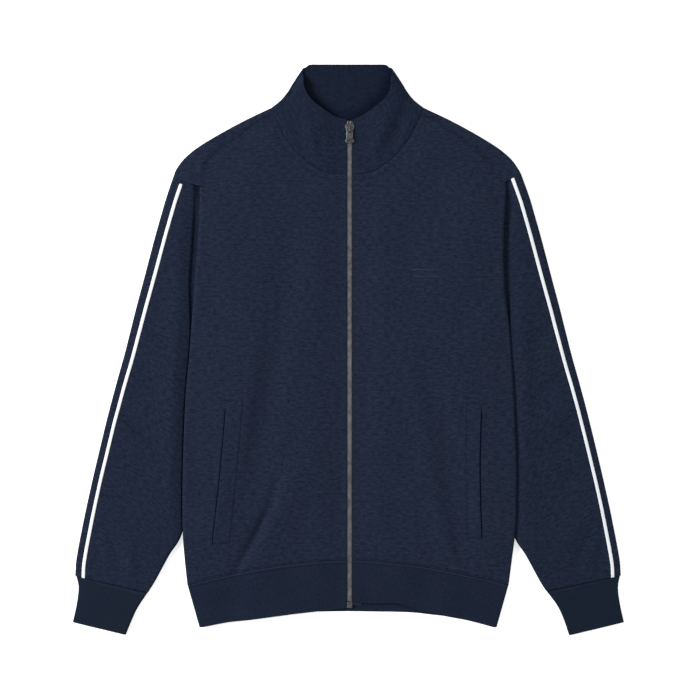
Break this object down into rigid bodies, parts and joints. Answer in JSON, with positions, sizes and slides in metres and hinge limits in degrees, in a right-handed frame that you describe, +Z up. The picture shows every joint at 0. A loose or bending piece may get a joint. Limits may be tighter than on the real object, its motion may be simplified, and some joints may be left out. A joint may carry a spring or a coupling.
{
  "type": "zip-through funnel-neck cardigan, laid flat",
  "caption": "Zip-through jersey cardigan with funnel neck, ribbed cuffs and hem, welt pockets and striped sleeves, laid flat with its front up.",
  "frame": {"origin": "on the surface that the garment lies on, in the middle of the space that it takes up", "axes": "+Z up, out of the front of the garment; +Y towards the collar; +X towards the wearer's left"},
  "size_m": [0.756, 0.7859, 0.0102],
  "materials": {
    "body_jersey": "matte navy heather jersey",
    "rib_jersey": "matte navy fine rib",
    "stripe_tape": "flat woven tape, off-white",
    "zip_tape": "woven polyester tape, near black",
    "zip_teeth": "gunmetal teeth",
    "zip_metal": "satin gunmetal"
  },
  "bodies": {
    "garment": {"back": "body_jersey", "front_right": "body_jersey", "front_left": "body_jersey", "sleeve_right": "body_jersey", "sleeve_left": "body_jersey", "collar": "body_jersey", "hem_band": "rib_jersey", "cuff_right": "rib_jersey", "cuff_left": "rib_jersey", "pocket_welt_right": "body_jersey", "pocket_welt_left": "body_jersey", "sleeve_stripe_right": "stripe_tape", "sleeve_stripe_left": "stripe_tape", "zip_tape_right": "zip_tape", "zip_tape_left": "zip_tape", "zip_chain": "zip_teeth", "zip_stop_right": "zip_metal", "zip_stop_left": "zip_metal", "zip_box": "zip_metal", "zip_slider": "zip_metal"},
    "pull_tab": {"zip_pull": "zip_metal"}
  },
  "joints": [
    {"name": "pull_swing", "type": "hinge", "parent": "garment", "child": "pull_tab", "pos_m": [0.0029, 0.3055, 0.0079], "axis": [-1, 0, 0], "range_deg": [0, 165]}
  ]
}
